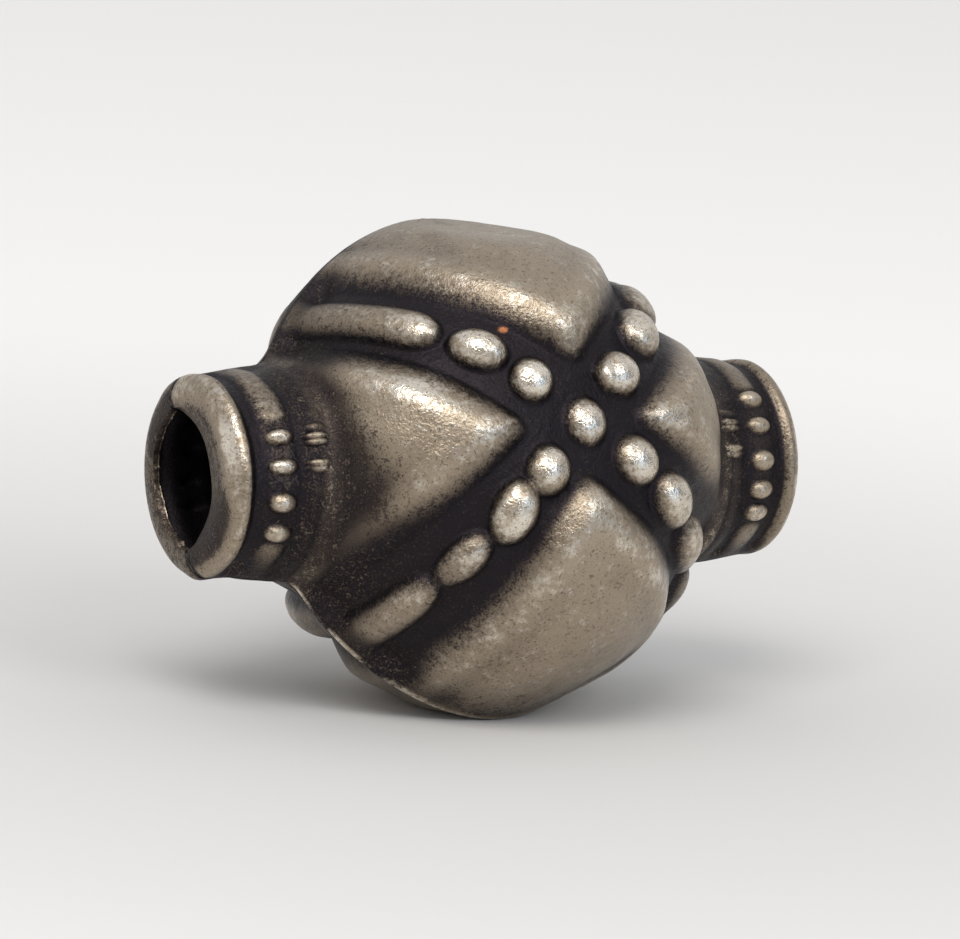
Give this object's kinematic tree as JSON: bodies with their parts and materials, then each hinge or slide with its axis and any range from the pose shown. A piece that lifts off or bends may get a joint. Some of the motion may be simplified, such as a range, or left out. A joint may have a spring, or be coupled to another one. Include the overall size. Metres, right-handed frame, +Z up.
{
  "type": "ojime bead",
  "caption": "Hollow pressed-metal slide bead with two short open necks and a stamped cross of grains and bars on each domed side, threaded on a cord.",
  "frame": {"origin": "centre of the bead, halfway between the two mouths on the axis of the bore", "axes": "+X along the bore from the open mouth seen in the picture to the far one, +Z up as the bead lies, -Y towards the viewer"},
  "size_m": [0.0162, 0.0114, 0.0114],
  "materials": {
    "worn_silver": "satin, silvered and antiqued",
    "solder": "dull"
  },
  "bodies": {
    "root": {"front_half_shell": "worn_silver", "back_half_shell": "worn_silver", "upper_solder_seam": "solder", "lower_solder_seam": "solder"}
  },
  "joints": []
}
